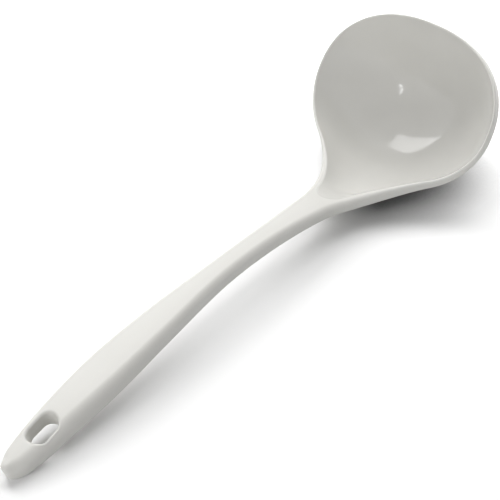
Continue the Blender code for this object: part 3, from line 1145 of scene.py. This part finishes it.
@dataclass(frozen=True)
class StudioTable:
    """A white table that fades into a white backdrop, with painted shade under the bowl and
    painted light beside it.
    """

    colour: str = "#FFFFFF"
    bounce: str = "#DCDCDC"  # its colour for the light it throws on the ladle
    half_size: float = 6.0
    world_fill: float = 0.02
    contact_mm: float = 64.0  # how near the ladle the painted shade reaches, by ambient occlusion
    contact_tone: float = 0.11  # painted shade's tone right under the ladle, as a share of the table's own
    contact_samples: int = 16
    open_start: float = 0.2  # share of open sky at which the painted shade starts to lift
    open_end: float = 0.85
    contact_way: tuple[float, float, float] = (1.0, -0.6, 0.0)  # the way that the painted shade grows
    contact_start: float = 0.044  # where it starts and is full, m that way
    contact_end: float = 0.078
    painted_light: float = 0.28  # painted light: emission the eye sees on the table by the bowl, lifting its shadow
    painted_light_way: tuple[float, float, float] = (1.0, 0.3, 0.0)  # the way that the painted light grows
    painted_light_start: float = 0.052  # where it starts and is full, m that way
    painted_light_end: float = 0.078
    fade_start: float = 0.3  # where the table starts to fade into the backdrop, m from the middle
    fade_end: float = 0.7

    def build(self) -> bpy.types.Object:
        """Makes the table top and the world.

        Returns:
            The table top.
        """
        mesh = bpy.data.meshes.new("table_top")
        h = self.half_size
        mesh.from_pydata([(-h, -h, 0), (h, -h, 0), (h, h, 0), (-h, h, 0)], [], [(0, 1, 2, 3)])
        mesh.materials.append(self.laminate())
        piece = bpy.data.objects.new("table_top", mesh)
        bpy.context.scene.collection.objects.link(piece)
        self.surround()
        LOG.info("table top and backdrop")
        return piece

    def laminate(self) -> bpy.types.Material:
        """Makes the table's matt white laminate, which keeps the ladle's shadow and adds painted
        shade and light.

        Returns:
            The material.
        """
        material = bpy.data.materials.new("table_matt_white_laminate")
        material.use_nodes = True
        tree = material.node_tree
        tree.nodes.clear()
        where = add_node(tree, "ShaderNodeTexCoord").outputs["Object"]
        seen = self.seen(tree)
        tones = {"Factor": seen, 6: linear(self.bounce), 7: linear(self.colour)}
        tone = add_node(tree, "ShaderNodeMix", {"data_type": "RGBA"}, tones)
        # painted shade: the table's colour, seen and thrown, is darkened close under the bowl
        shade = {0: tone.outputs[2], "Scale": self.painted_contact_shade(tree, where)}
        shaded = add_node(tree, "ShaderNodeVectorMath", {"operation": "SCALE"}, shade).outputs[0]
        matt = add_node(tree, "ShaderNodeBsdfDiffuse", inputs={"Color": shaded})
        # painted light: the table glows beside the bowl, to the eye and in reflections, lifting
        # its shadow
        painted_light = {"Color": shaded, "Strength": self.painted_light_by_bowl(tree, where, seen)}
        light = add_node(tree, "ShaderNodeEmission", inputs=painted_light)
        both = {0: matt.outputs[0], 1: light.outputs[0]}
        table = add_node(tree, "ShaderNodeAddShader", inputs=both)
        white = add_node(tree, "ShaderNodeEmission", inputs={"Color": WHITE, "Strength": 1.0})
        fade = {"Fac": self.far_fade(tree, where, seen), 1: table.outputs[0], 2: white.outputs[0]}
        faded = add_node(tree, "ShaderNodeMixShader", inputs=fade)
        add_node(tree, "ShaderNodeOutputMaterial", inputs={"Surface": faded.outputs[0]})
        return material

    def painted_contact_shade(self, tree: Tree, where: Socket) -> Socket:
        """Adds painted shade: the table's colour darkened by ambient occlusion close under the
        bowl.

        Args:
            tree: The node tree.
            where: The place on the table.

        Returns:
            The painted shade, as a share of the table's own tone, 1 away from the bowl.
        """
        way = {0: where, 1: self.contact_way}
        along = add_node(tree, "ShaderNodeVectorMath", {"operation": "DOT_PRODUCT"}, way)
        place = {
            "Value": along.outputs["Value"],
            "From Min": self.contact_start,
            "From Max": self.contact_end,
        }
        smooth = {"interpolation_type": "SMOOTHSTEP"}
        near_bowl = add_node(tree, "ShaderNodeMapRange", smooth, place)
        reach = {"Distance": self.contact_mm * MM}
        rays = {"samples": self.contact_samples}
        sky = add_node(tree, "ShaderNodeAmbientOcclusion", rays, reach)
        span = {
            "Value": sky.outputs["AO"],
            "From Min": self.open_start,
            "From Max": self.open_end,
            "To Min": self.contact_tone,
        }
        tone = add_node(tree, "ShaderNodeMapRange", inputs=span)
        mixed = {0: near_bowl.outputs[0], 2: 1.0, 3: tone.outputs[0]}
        return add_node(tree, "ShaderNodeMix", {"data_type": "FLOAT"}, mixed).outputs[0]

    def painted_light_by_bowl(self, tree: Tree, where: Socket, seen: Socket) -> Socket:
        """Adds painted light: emission that the eye sees on the table beside the bowl, lifting its
        shadow.

        Args:
            tree: The node tree.
            where: The place on the table.
            seen: What seen() gives.

        Returns:
            Its strength.
        """
        way = {0: where, 1: self.painted_light_way}
        along = add_node(tree, "ShaderNodeVectorMath", {"operation": "DOT_PRODUCT"}, way)
        place = {
            "Value": along.outputs["Value"],
            "From Min": self.painted_light_start,
            "From Max": self.painted_light_end,
            "To Max": self.painted_light,
        }
        near_bowl = add_node(tree, "ShaderNodeMapRange", inputs=place)
        both = {0: seen, 1: near_bowl.outputs[0]}
        return add_node(tree, "ShaderNodeMath", {"operation": "MULTIPLY"}, both).outputs[0]

    def far_fade(self, tree: Tree, where: Socket, seen: Socket) -> Socket:
        """Adds how far the table has faded into the backdrop.

        Args:
            tree: The node tree.
            where: The place on the table.
            seen: What seen() gives.

        Returns:
            A share from 0, table, to 1, backdrop.
        """
        away = add_node(tree, "ShaderNodeVectorMath", {"operation": "LENGTH"}, {0: where})
        place = {
            "Value": away.outputs["Value"],
            "From Min": self.fade_start,
            "From Max": self.fade_end,
        }
        faded = add_node(tree, "ShaderNodeMapRange", inputs=place)
        both = {0: faded.outputs[0], 1: seen}
        return add_node(tree, "ShaderNodeMath", {"operation": "MULTIPLY"}, both).outputs[0]

    def surround(self) -> None:
        """Sets the world: white to the eye and in reflections, a soft fill elsewhere."""
        world = bpy.data.worlds.new("studio_surround")
        bpy.context.scene.world = world
        world.use_nodes = True
        tree = world.node_tree
        tree.nodes.clear()
        dim, full = (
            add_node(tree, "ShaderNodeBackground", inputs={"Color": WHITE, "Strength": strength})
            for strength in (self.world_fill, 1.0)
        )
        both = {"Fac": self.seen(tree), 1: dim.outputs[0], 2: full.outputs[0]}
        mixed = add_node(tree, "ShaderNodeMixShader", inputs=both)
        add_node(tree, "ShaderNodeOutputWorld", inputs={"Surface": mixed.outputs[0]})

    def seen(self, tree: Tree) -> Socket:
        """Adds a value that is 1 to the eye and in reflections, and 0 for light on the ladle.

        Args:
            tree: The node tree.

        Returns:
            The value.
        """
        path = add_node(tree, "ShaderNodeLightPath")
        eye = path.outputs["Is Camera Ray"]
        for other in ("Is Glossy Ray", "Is Transmission Ray"):
            both = {0: eye, 1: path.outputs[other]}
            eye = add_node(tree, "ShaderNodeMath", {"operation": "MAXIMUM"}, both).outputs[0]
        return eye


@dataclass(frozen=True)
class StudioCamera:
    """The camera, above the ladle's near side and behind its handle."""

    azimuth: float = -45.87  # degrees round the ladle, 0 from -Y, 90 from +X
    elevation: float = 41.79
    distance: float = 0.5961  # metres, as the place on the table that it looks at
    target_x: float = 0.01585
    target_y: float = 0.0131
    roll: float = -3.69
    lens: float = 108.0  # mm, as the sensor
    sensor: float = 36.0
    nearest: float = 0.01
    farthest: float = 30.0

    def build(self) -> bpy.types.Object:
        """Makes the camera and sets it as the scene's.

        Returns:
            The camera's object.
        """
        data = bpy.data.cameras.new("studio_camera")
        data.lens, data.sensor_width = self.lens, self.sensor
        data.clip_start, data.clip_end = self.nearest, self.farthest
        piece = bpy.data.objects.new("studio_camera", data)
        a, turn = math.radians(self.azimuth), math.radians(self.roll)
        back = toward(self.azimuth, self.elevation)
        right = Vector((math.cos(a), math.sin(a), 0.0))
        up = back.cross(right)
        right, up = (
            right * math.cos(turn) + up * math.sin(turn),
            up * math.cos(turn) - right * math.sin(turn),
        )
        frame = Matrix((right, up, back)).transposed().to_4x4()
        frame.translation = Vector((self.target_x, self.target_y, 0.0)) + back * self.distance
        piece.matrix_world = frame
        bpy.context.scene.collection.objects.link(piece)
        bpy.context.scene.camera = piece
        LOG.info("camera")
        return piece


def main() -> None:
    """Loads the frame, builds the ladle and the studio around it."""
    logging.basicConfig(level=logging.INFO, format="%(message)s")
    for thing in list(bpy.data.objects):
        bpy.data.objects.remove(thing)
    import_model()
    ladle = SauceLadle(LadleSizes(), FINISHES, MeshDetail())
    ladle.dress(ladle.build())
    StudioTable().build()
    for lamp in SOFTBOXES:
        lamp.build()
    StudioCamera().build()
    bpy.context.scene.view_settings.view_transform = "Standard"


if __name__ == "__main__":
    main()
